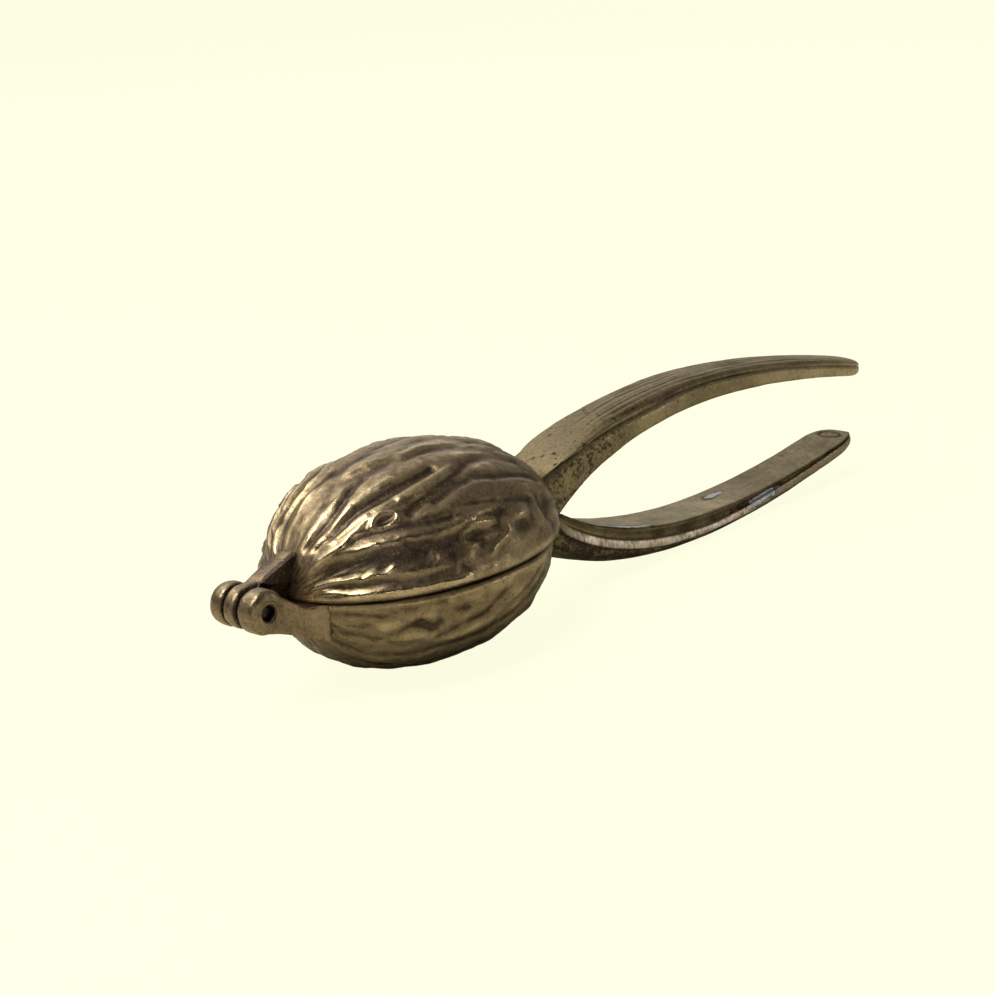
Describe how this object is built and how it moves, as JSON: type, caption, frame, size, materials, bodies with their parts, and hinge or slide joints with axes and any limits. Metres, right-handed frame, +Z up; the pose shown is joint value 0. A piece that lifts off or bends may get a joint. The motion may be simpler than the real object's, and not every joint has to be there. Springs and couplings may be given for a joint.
{
  "type": "nutcracker",
  "caption": "Aged cast-brass nutcracker: a hollow walnut split in two halves, hinged at one end, each half with a long curved handle to squeeze.",
  "frame": {"origin": "on the table under the middle of the walnut, on the small worn flat of its belly", "axes": "+Z up from the table the closed tool lies on, +X from the hinge towards the handle tips, +Y across the tool along the hinge pin"},
  "size_m": [0.1711, 0.043, 0.0387],
  "materials": {
    "lower_brass": "aged cast brass, olive-brown in the hollows, pitted on the handle, worn brighter on the crests",
    "upper_brass": "aged cast brass, rubbed to a warm shine on the ridges, dark in the creases",
    "pin_metal": "dark tarnished pin ends"
  },
  "bodies": {
    "lower_jaw": {"lower_shell": "lower_brass", "lower_handle": "lower_brass", "lower_hinge_lug": "lower_brass", "hinge_pin": "pin_metal"},
    "upper_jaw": {"upper_shell": "upper_brass", "upper_handle": "upper_brass", "upper_hinge_knuckle": "upper_brass"}
  },
  "joints": [
    {"name": "jaw_hinge", "type": "hinge", "parent": "lower_jaw", "child": "upper_jaw", "pos_m": [-0.03807, 0, 0.02041], "axis": [0, -1, 0], "range_deg": [0, 180]}
  ]
}
